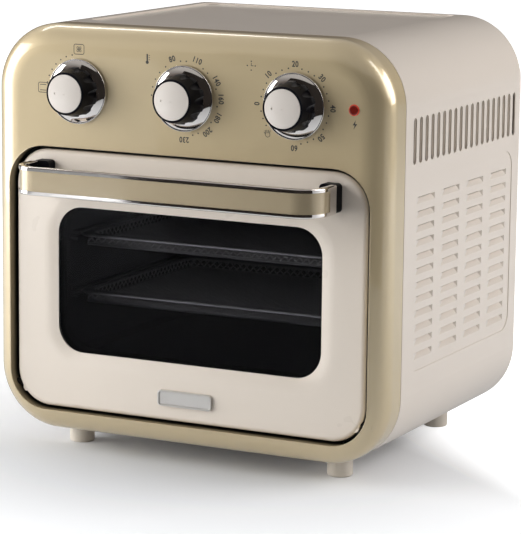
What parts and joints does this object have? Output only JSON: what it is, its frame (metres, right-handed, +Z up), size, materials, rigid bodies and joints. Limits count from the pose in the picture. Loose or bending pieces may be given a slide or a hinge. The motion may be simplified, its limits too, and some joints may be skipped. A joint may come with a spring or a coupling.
{
  "type": "air fryer oven",
  "caption": "Countertop air fryer oven with a drop-down glass door, bar handle, dials in a row above it, mesh trays inside, vents in its sides and short feet.",
  "frame": {"origin": "on the worktop under the middle of the whole object, handle included", "axes": "+X to the right seen from the front, +Y to the back, +Z up"},
  "size_m": [0.33, 0.295, 0.3294],
  "materials": {
    "badge_metal": "satin",
    "base_steel": "plated",
    "beige_inlay": "gloss metallic",
    "beige_paint": "gloss metallic",
    "bell_brass": "satin",
    "black_grip": "satin",
    "black_plastic": "matte",
    "bracket_steel": "plated",
    "chrome_handle": "polished",
    "chrome_skirt": "polished",
    "clear_glass": "polished",
    "control_brown": "matte",
    "control_steel": "plated",
    "control_white": "matte",
    "cream_cap": "gloss",
    "cream_door_paint": "gloss",
    "cream_foot_plastic": "satin",
    "cream_paint": "gloss",
    "cream_paint_rear": "satin",
    "dark_glass": "polished",
    "dark_steel": "satin",
    "fan_aluminium": "satin",
    "guard_steel": "satin",
    "heater_steel": "oxidised",
    "liner_aluminium": "satin",
    "motor_steel": "plated",
    "pin_steel": "ground",
    "red_lens": "gloss",
    "screw_steel": "plated",
    "tray_chrome": "plated",
    "tray_steel": "enamel",
    "white_plastic": "matte"
  },
  "bodies": {
    "casing": {"base_plate": "base_steel", "cable_gland": "black_plastic", "cavity_liner": "liner_aluminium", "cavity_mouth": "liner_aluminium", "control_bracket": "bracket_steel", "drip_tray": "tray_steel", "fan_housing": "liner_aluminium", "fan_motor": "motor_steel", "foot_front_left": "cream_foot_plastic", "foot_front_right": "cream_foot_plastic", "foot_rear_left": "cream_foot_plastic", "foot_rear_right": "cream_foot_plastic", "foot_screws": "screw_steel", "front_frame": "beige_paint", "heater_element": "heater_steel", "heater_guard": "guard_steel", "lamp_holder": "white_plastic", "lamp_lens": "red_lens", "motor_bridge": "bracket_steel", "outer_shell": "cream_paint", "rear_cover": "cream_paint_rear", "rear_screws": "screw_steel", "selector_switch": "control_white", "terminal_block": "control_white", "thermal_cutout": "control_brown", "thermostat": "control_brown", "timer": "control_steel", "timer_bell": "bell_brass", "tray_rails": "liner_aluminium"},
    "door": {"door_frame": "cream_door_paint", "door_glass": "dark_glass", "door_inner_frame": "dark_steel", "door_inner_glass": "clear_glass", "door_hinge_pins": "pin_steel", "handle_bar": "chrome_handle", "handle_inlay": "beige_inlay", "handle_block_left": "black_plastic", "handle_block_right": "black_plastic", "handle_screws": "screw_steel", "badge_plate": "badge_metal"},
    "upper_tray": {"mesh_tray_upper": "tray_chrome"},
    "lower_tray": {"mesh_tray_lower": "tray_chrome"},
    "fan_rotor": {"fan_shaft": "pin_steel", "hot_air_fan": "fan_aluminium", "cooling_fan": "fan_aluminium"},
    "selector_dial": {"selector_skirt": "chrome_skirt", "selector_grip": "black_grip", "selector_cap": "cream_cap", "selector_shaft": "pin_steel"},
    "temperature_dial": {"temperature_skirt": "chrome_skirt", "temperature_grip": "black_grip", "temperature_cap": "cream_cap", "temperature_shaft": "pin_steel"},
    "timer_dial": {"timer_skirt": "chrome_skirt", "timer_grip": "black_grip", "timer_cap": "cream_cap", "timer_shaft": "pin_steel"}
  },
  "joints": [
    {"name": "door_hinge", "type": "hinge", "parent": "casing", "child": "door", "pos_m": [0, -0.0995, 0.0501], "axis": [1, 0, 0], "range_deg": [0, 85]},
    {"name": "upper_tray_slide", "type": "slide", "parent": "casing", "child": "upper_tray", "axis": [0, -1, 0], "range_m": [0, 0.1485]},
    {"name": "lower_tray_slide", "type": "slide", "parent": "casing", "child": "lower_tray", "axis": [0, -1, 0], "range_m": [0, 0.0832]},
    {"name": "fan_spin", "type": "hinge", "parent": "casing", "child": "fan_rotor", "pos_m": [0, 0.0245, 0.2165], "axis": [0, 0, 1], "continuous": true},
    {"name": "selector_turn", "type": "hinge", "parent": "casing", "child": "selector_dial", "pos_m": [-0.0903, -0.1075, 0.2803], "axis": [0, 1, 0], "range_deg": [0, 90]},
    {"name": "temperature_turn", "type": "hinge", "parent": "casing", "child": "temperature_dial", "pos_m": [0, -0.1075, 0.2803], "axis": [0, 1, 0], "range_deg": [0, 270]},
    {"name": "timer_turn", "type": "hinge", "parent": "casing", "child": "timer_dial", "pos_m": [0.0903, -0.1075, 0.2803], "axis": [0, 1, 0], "range_deg": [-45, 270]}
  ],
  "couplings": [
    {"joint": "upper_tray_slide", "follows": "door_hinge", "m_per_rad": 0.1},
    {"joint": "lower_tray_slide", "follows": "door_hinge", "m_per_rad": 0.056}
  ]
}
